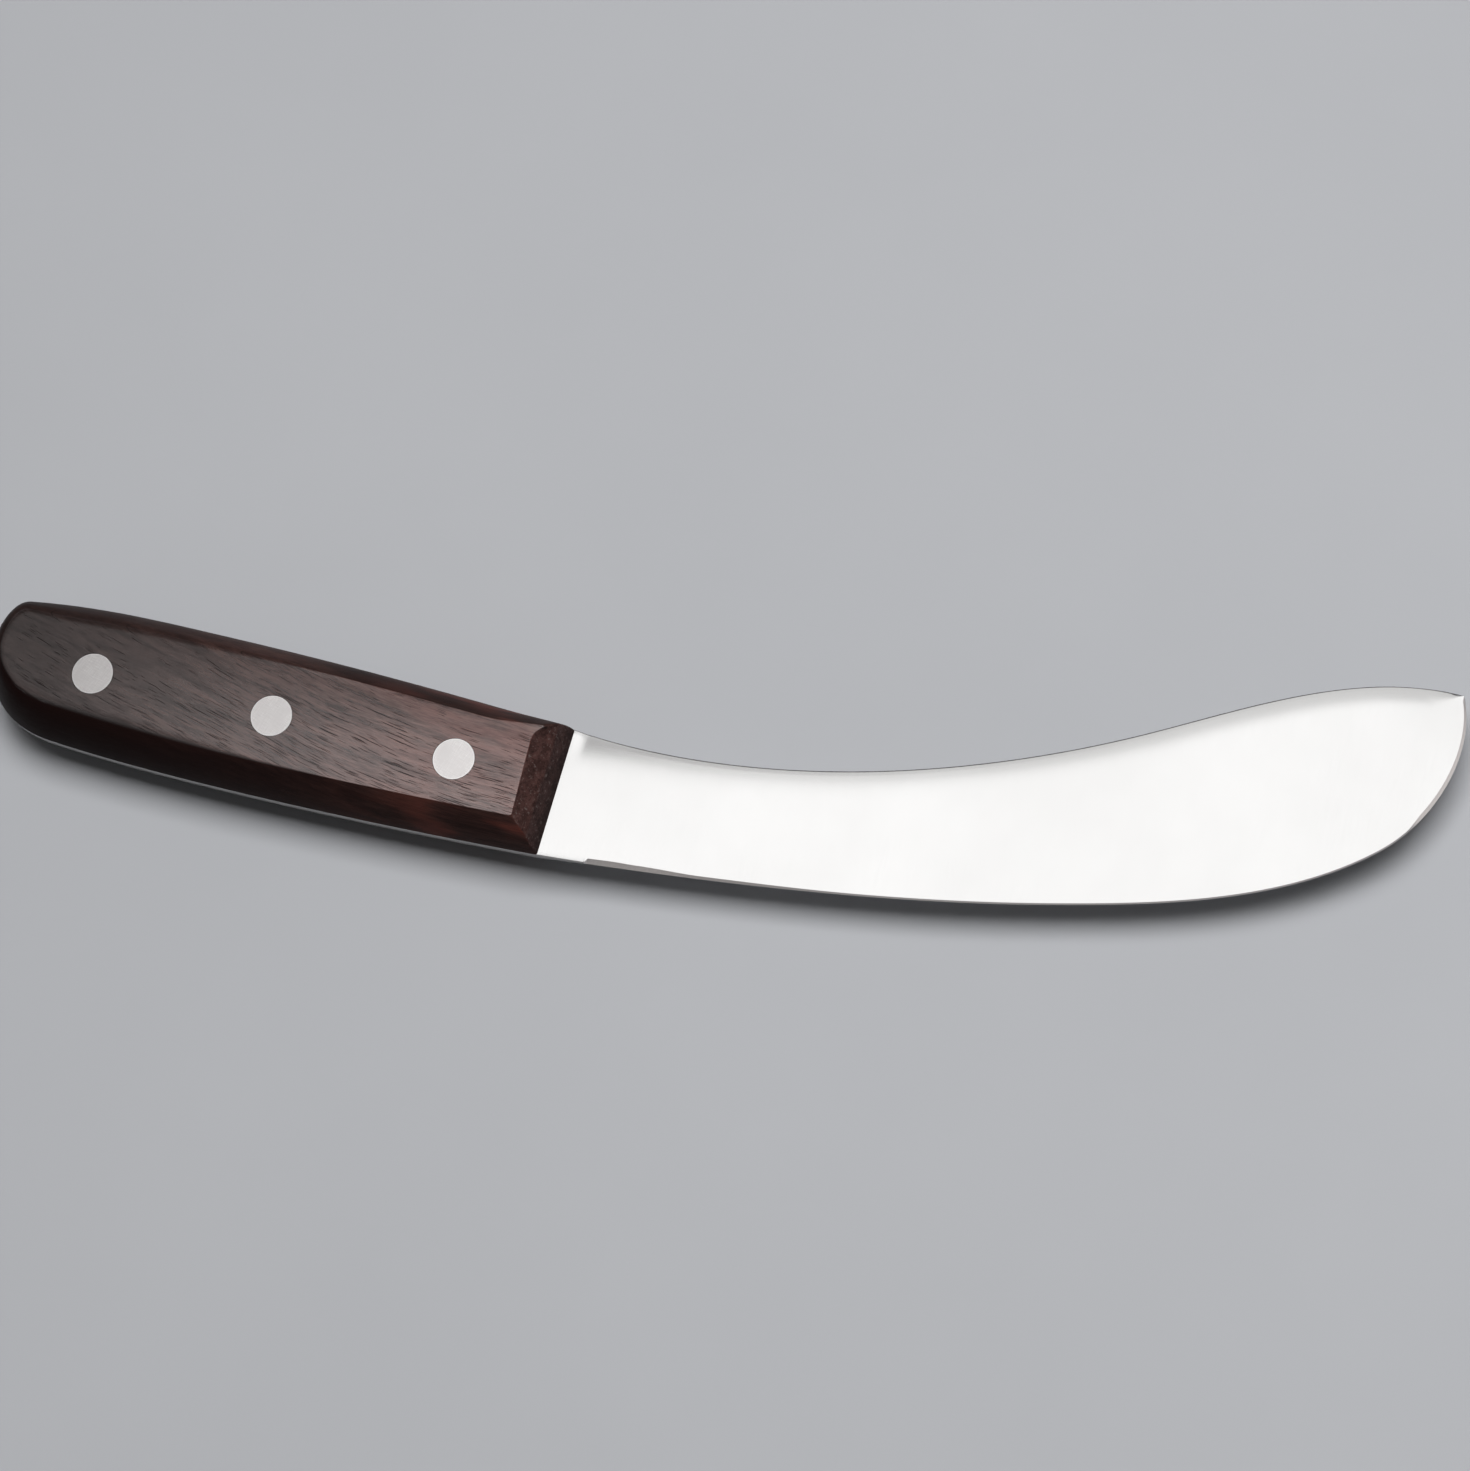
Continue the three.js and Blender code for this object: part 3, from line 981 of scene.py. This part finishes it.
def ground_steel():
    """The sharpened bevel, left darker by the stone."""
    material, nodes = new_material("ground_steel")
    scratches = nodes.noise(nodes.stretch(nodes.millimetres(), STONE_MARKS), scale=1.0, detail=3.0)
    nodes.surface(Base_Color=nodes.ramp(scratches, *GROUND_TONES), Metallic=1.0,
                  Roughness=nodes.line(scratches, slope=0.12, start=0.34))
    return material


def sanded_shaded_steel():
    """The narrow edge of tang and spine, with sanding marks; its dark grey is painted shade for the
    surroundings it reflects.
    """
    material, nodes = new_material("sanded_shaded_steel")
    sanding = nodes.noise(nodes.stretch(nodes.millimetres(), SANDING_MARKS), scale=1.0, detail=3.0)
    # The dark sanded tones are painted shade
    nodes.surface(Base_Color=nodes.ramp(sanding, *SANDED_SHADED_TONES), Metallic=1.0,
                  Roughness=nodes.line(sanding, slope=0.1, start=0.12))
    return material


def from_head_middle(nodes):
    """Distance from the middle of a rivet's head, as a share of the head's width."""
    head_x, head_y, _ = nodes.split(nodes.add("ShaderNodeTexCoord").outputs["Generated"])
    aside = nodes.minus(head_x, 0.5)
    above = nodes.minus(head_y, 0.5)
    return nodes.math("SQRT", nodes.line(aside, aside, nodes.times(above, above)))


def rivet_steel():
    """Rivet heads ground flush with the wood: fine scratches, and a painted highlight round the rim."""
    material, nodes = new_material("rivet_steel")
    place = nodes.millimetres()
    x, y, z = nodes.split(place)
    scratched = nodes.join(nodes.line(y, -SCRATCH_SLOPE, x), nodes.line(x, SCRATCH_SLOPE, y), z)
    fine = nodes.noise(nodes.stretch(scratched, FINE_SCRATCHES), scale=1.0, detail=4.0)
    stray = nodes.noise(nodes.stretch(scratched, STRAY_SCRATCHES), scale=1.0, detail=3.0)
    wear = nodes.plus(nodes.times(fine, FINE_SHARE), nodes.times(stray, 1 - FINE_SHARE))
    clouds = nodes.soft_range(nodes.noise(place, scale=0.35), low=0.4, high=0.75)
    colour = nodes.blend(clouds, nodes.ramp(wear, *RIVET_TONES), RIVET_CLOUDS)
    # Painted highlight: a thin bright ring round the rim of each head
    rim = nodes.soft_range(from_head_middle(nodes), *PAINTED_HIGHLIGHT_RIM)
    nodes.surface(Base_Color=nodes.blend(rim, colour, WORN_AND_HIGHLIGHT_BRIGHT), Metallic=1.0,
                  Roughness=nodes.line(wear, slope=0.2, start=0.22),
                  Normal=nodes.bump(wear, strength=0.1, distance=0.00002))
    return material


def bent_grain(nodes, place):
    """Coordinates along, across and into the wood, for a grain that bends and sways."""
    x, y, z = nodes.split(place)
    sway = nodes.noise(place, scale=0.06, detail=1.0)
    behind = nodes.plus(x, BEND_BEHIND)
    turn = nodes.math("SQRT", nodes.line(behind, behind, BEND_REACH ** 2))
    bend = nodes.times(nodes.minus(behind, turn), BEND_SLOPE)
    across = nodes.plus(y, nodes.line(sway, SWAY, bend))
    depth = nodes.line(x, GRAIN_DIVE, z)
    return nodes.join(x, across, depth)


def pore_lines(nodes, place, grain):
    """Fine dark dashes along the grain, in three sizes, gathered in patches and towards the edge side."""
    x, y, z = nodes.split(place)
    _, across, depth = nodes.split(grain)
    layer = nodes.line(depth, PORE_DIVE, across)
    layer = nodes.line(nodes.minus(z, RIGHT_FACE), PORE_SPREAD, layer)
    denser = nodes.soft_range(y, *DENSER_Y)
    pores = 0.0
    for width, length, shift in PORE_SIZES:
        cell_place = nodes.join(nodes.line(x, 1 / length, shift), nodes.line(layer, 1 / width, shift), 0.0)
        cells = nodes.add("ShaderNodeTexVoronoi", {"Vector": cell_place, "Scale": 1.0},
                          voronoi_dimensions="2D")
        chance, size, _ = nodes.split(cells.outputs["Color"])
        patch_place = nodes.stretch(nodes.join(x, layer, shift), PORE_PATCHES)
        patches = nodes.line(nodes.noise(patch_place, scale=1.0), slope=1.6, start=-0.63)
        there = nodes.math("LESS_THAN", chance, nodes.line(denser, DENSER_BY, patches))
        reach = nodes.times(there, nodes.line(size, slope=0.12, start=0.06))
        inside = nodes.minus(reach, cells.outputs["Distance"])
        pores = nodes.math("MAXIMUM", pores, nodes.soft_range(inside, low=-0.02, high=0.03))
    return pores


def end_grain(nodes, place, upright, speckle):
    """Blotched end grain with pits and pale dots; painted light on the upper facet, painted shade beside
    the blade.
    """
    blotches = nodes.noise(place, scale=0.45, detail=3.0, roughness=0.6)
    low_facet = nodes.ramp(blotches, *LOW_FACET_TONES)
    high_facet = nodes.ramp(blotches, *LIT_HIGH_FACET_TONES)
    # Painted light: the upper facet, which faces up, is lighter and a little redder
    colour = nodes.blend(nodes.soft_range(upright, *HIGH_FACET_FACING), low_facet, high_facet)
    dots = nodes.times(nodes.soft_range(speckle, low=0.56, high=0.66), DOT_SHARE)
    colour = nodes.blend(dots, colour, DOT_COLOUR)
    pits = nodes.times(nodes.soft_range(speckle, low=0.48, high=0.38), PIT_SHARE)
    colour = nodes.blend(pits, colour, PIT_COLOUR)
    # Painted shade at the foot of the front end, beside the blade
    from_middle = nodes.math("ABSOLUTE", nodes.minus(nodes.split(place)[2], TANG_MIDDLE))
    foot = nodes.times(nodes.soft_range(from_middle, TANG_HALF + FOOT_HEIGHT, TANG_HALF), FOOT_SHARE)
    return nodes.blend(foot, colour, FOOT_PAINTED_SHADE)


def dark_rosewood():
    """Dark rosewood: brown streaks and fine open pores along a bent grain. The flats are polished,
    the sides are duller, and the front shows rough end grain. Painted shade darkens the sides, the
    spine side and the butt; red patches towards the front also stand as a painted highlight."""
    material, nodes = new_material("dark_rosewood")
    place = nodes.millimetres()
    x, y, _ = nodes.split(place)
    facing_x, _, facing_z = nodes.split(nodes.add("ShaderNodeNewGeometry").outputs["Normal"])
    upright = nodes.math("ABSOLUTE", facing_z)
    flat = nodes.soft_range(upright, *FLAT_FACING)

    grain = bent_grain(nodes, place)
    streaks = nodes.noise(nodes.stretch(grain, STREAKS), scale=0.7, detail=5.0, roughness=0.65)
    fibres = nodes.noise(nodes.stretch(grain, FIBRES), scale=4.0, detail=3.0, roughness=0.6)
    tone = nodes.plus(nodes.times(streaks, STREAK_SHARE), nodes.times(fibres, 1 - STREAK_SHARE))
    # Painted shade: darker towards the spine and, further on, towards the butt
    spine_shade = nodes.times(nodes.soft_range(y, *SPINE_SHADE_Y), SPINE_SHADE)
    colour = nodes.blend(spine_shade, nodes.ramp(tone, *WOOD_TONES), WOOD_PAINTED_SHADE)
    forward = nodes.soft_range(x, *LIGHTER_X)
    colour = nodes.blend(nodes.line(forward, slope=-BUTT_SHADE, start=BUTT_SHADE), colour, WOOD_PAINTED_SHADE)

    # Red patches towards the front: red in the wood that also stands as a painted highlight, as the sides'
    # painted shade is lifted under them
    patches = nodes.noise(nodes.stretch(grain, RED_PATCHES), scale=0.2)
    red_patch_highlight = nodes.times(nodes.soft_range(patches, low=0.4, high=0.62), nodes.soft_range(x, *RED_HIGHLIGHT_X))
    red_patch_highlight = nodes.times(red_patch_highlight, nodes.line(flat, slope=-0.6, start=1.0))
    colour = nodes.blend(red_patch_highlight, colour, RED_WOOD_AND_HIGHLIGHT)
    pores = pore_lines(nodes, place, grain)
    colour = nodes.blend(nodes.times(pores, PORE_SHADE), colour, PORE_DARK)

    # Painted shade on the sides: lighter towards the front, under red patches and by the spine in the rear
    # half
    darker = nodes.line(forward, slope=-0.2, start=0.95)
    darker = nodes.times(darker, nodes.line(red_patch_highlight, slope=-0.35, start=1.0))
    lighter_side = nodes.times(nodes.soft_range(y, *LIGHT_SIDE_Y), nodes.soft_range(x, *LIGHT_SIDE_X))
    darker = nodes.times(darker, nodes.line(lighter_side, slope=-0.9, start=1.0))
    side_colour = nodes.blend(darker, colour, SIDE_PAINTED_SHADE)
    # Painted shade: the flat's colour darkens as its face tilts away from up
    flat_colour = nodes.blend(nodes.soft_range(upright, *FLAT_COLOUR_FACING), side_colour, colour)
    front = nodes.soft_range(facing_x, *FRONT_FACING)
    speckle = nodes.noise(place, scale=1.3, detail=4.0, roughness=0.8)
    side_colour = nodes.blend(front, side_colour, end_grain(nodes, place, upright, speckle))

    height = nodes.minus(nodes.times(fibres, FIBRE_RELIEF), pores)
    height = nodes.line(nodes.times(front, speckle), SPECKLE_RELIEF, height)
    normal = nodes.bump(height, strength=0.3, distance=0.00008)
    polished = nodes.shader(Base_Color=flat_colour, Roughness=nodes.line(fibres, slope=0.16, start=0.11),
                            IOR=1.57, Specular_IOR_Level=1.0, Normal=normal)
    dull = nodes.shader(Base_Color=side_colour, Roughness=nodes.line(fibres, slope=0.1, start=0.42),
                        Specular_IOR_Level=0.04, Normal=normal)
    gloss = nodes.line(pores, -PORE_DULLNESS, nodes.line(tone, slope=1.4, start=0.25))
    nodes.finish(nodes.mix_shaders(nodes.times(flat, gloss), dull, polished))
    return material


# Studio


def grey_floor():
    """Pale grey studio paper, darker on its far side as painted shade. Far from the knife it passes into
    an even background.
    """
    material, nodes = new_material("grey_floor")
    place = nodes.object_place()
    x, y, _ = nodes.split(place)
    mottle = nodes.noise(place, scale=9.0, detail=4.0, roughness=0.6)
    near_colour = nodes.ramp(mottle, *PAPER_TONES)
    # Painted shade on the paper's far side
    far_shaded_colour = nodes.blend(1.0, near_colour, PAPER_FAR_PAINTED_SHADE, "MULTIPLY")
    nearer = nodes.soft_range(nodes.line(x, FAR_SIDE_SLOPE, y), *FAR_SIDE)
    colour = nodes.blend(nearer, far_shaded_colour, near_colour)
    paper = nodes.shader(Base_Color=colour, Roughness=0.75, Specular_IOR_Level=0.2)
    backdrop = nodes.add("ShaderNodeEmission", {"Color": BACKGROUND, "Strength": 1.0}).outputs[0]
    away = nodes.add("ShaderNodeVectorMath", {0: place}, operation="LENGTH").outputs["Value"]
    rays = nodes.add("ShaderNodeLightPath").outputs
    shown = nodes.math("MAXIMUM", rays["Is Camera Ray"], rays["Is Glossy Ray"])
    far = nodes.times(nodes.soft_range(away, *BACKDROP), shown)
    nodes.finish(nodes.mix_shaders(far, paper, backdrop))
    return material


def make_floor():
    mesh = bpy.data.meshes.new("floor")
    corners = [(-PAPER_REACH, -PAPER_REACH, 0), (PAPER_REACH, -PAPER_REACH, 0),
               (PAPER_REACH, PAPER_REACH, 0), (-PAPER_REACH, PAPER_REACH, 0)]
    mesh.from_pydata(corners, [], [(0, 1, 2, 3)])
    floor = bpy.data.objects.new("floor", mesh)
    bpy.context.scene.collection.objects.link(floor)
    mesh.materials.append(grey_floor())


def make_light(name, place, size, radiance, turn, seen_by_metal):
    """A soft rectangular lamp that faces down. One kind lights matt surfaces, the other shows in
    polished ones."""
    light = bpy.data.lights.new(name, "AREA")
    light.shape = "RECTANGLE"
    light.size, light.size_y = size
    light.energy = radiance * math.pi * size[0] * size[1]
    lamp = bpy.data.objects.new(name, light)
    lamp.location = place
    lamp.rotation_euler = (0.0, 0.0, math.radians(turn))
    lamp.visible_camera = False
    lamp.visible_glossy = seen_by_metal
    lamp.visible_diffuse = not seen_by_metal
    bpy.context.scene.collection.objects.link(lamp)


def make_lights():
    """One lamp, above and behind the knife, lights the scene. Five cards show in metal and polish."""
    make_light(*KEY_LAMP, seen_by_metal=False)
    for card in CARDS:
        make_light(*card, seen_by_metal=True)


def make_world():
    """Dim surroundings, darker overhead. Polish shows a pale horizon, the camera sees the background."""
    world = bpy.data.worlds.new("studio")
    world.use_nodes = True
    bpy.context.scene.world = world
    nodes = Nodes(world.node_tree)
    height = nodes.split(nodes.add("ShaderNodeTexCoord").outputs["Generated"])[2]
    rays = nodes.add("ShaderNodeLightPath").outputs
    ambient = nodes.ramp(height, *AMBIENT_TONES)
    reflected = nodes.ramp(height, *REFLECTED_TONES)
    colour = nodes.blend(rays["Is Glossy Ray"], ambient, reflected)
    colour = nodes.blend(rays["Is Camera Ray"], colour, BACKGROUND)
    background = nodes.add("ShaderNodeBackground", {"Color": colour, "Strength": 1.0})
    nodes.add("ShaderNodeOutputWorld", {"Surface": background.outputs[0]})


def make_camera():
    """The photograph's view."""
    right = Vector(CAMERA_RIGHT).normalized()
    back = right.cross(Vector(CAMERA_UP)).normalized()
    up = back.cross(right).normalized()
    turn = Matrix((right, up, back)).transposed()
    data = bpy.data.cameras.new("camera")
    data.sensor_width = SENSOR_WIDTH
    data.lens = SENSOR_WIDTH * FOCAL_PIXELS / PHOTO_HEIGHT
    data.clip_start = NEAR_LIMIT
    camera = bpy.data.objects.new("camera", data)
    camera.matrix_world = Matrix.Translation(to_scene(CAMERA_PLACE)) @ turn.to_4x4()
    bpy.context.scene.collection.objects.link(camera)
    bpy.context.scene.camera = camera


# The knife in its studio

knife_blade = make_blade()
for steel in (polished_steel(), ground_steel(), sanded_shaded_steel()):
    knife_blade.data.materials.append(steel)

rosewood = dark_rosewood()
for scale in (make_scale("right_scale_wood", "right_scale", TANG_TOP, 1),
              make_scale("left_scale_wood", "left_scale", TANG_BOTTOM, -1)):
    scale.data.materials.append(rosewood)

ground_heads = rivet_steel()
for place, centre in zip(RIVETS, rivet_centres()):
    for half in make_rivet(place, centre):
        half.data.materials.append(ground_heads)

make_floor()
make_world()
make_camera()
make_lights()
bpy.context.scene.view_settings.view_transform = "Standard"
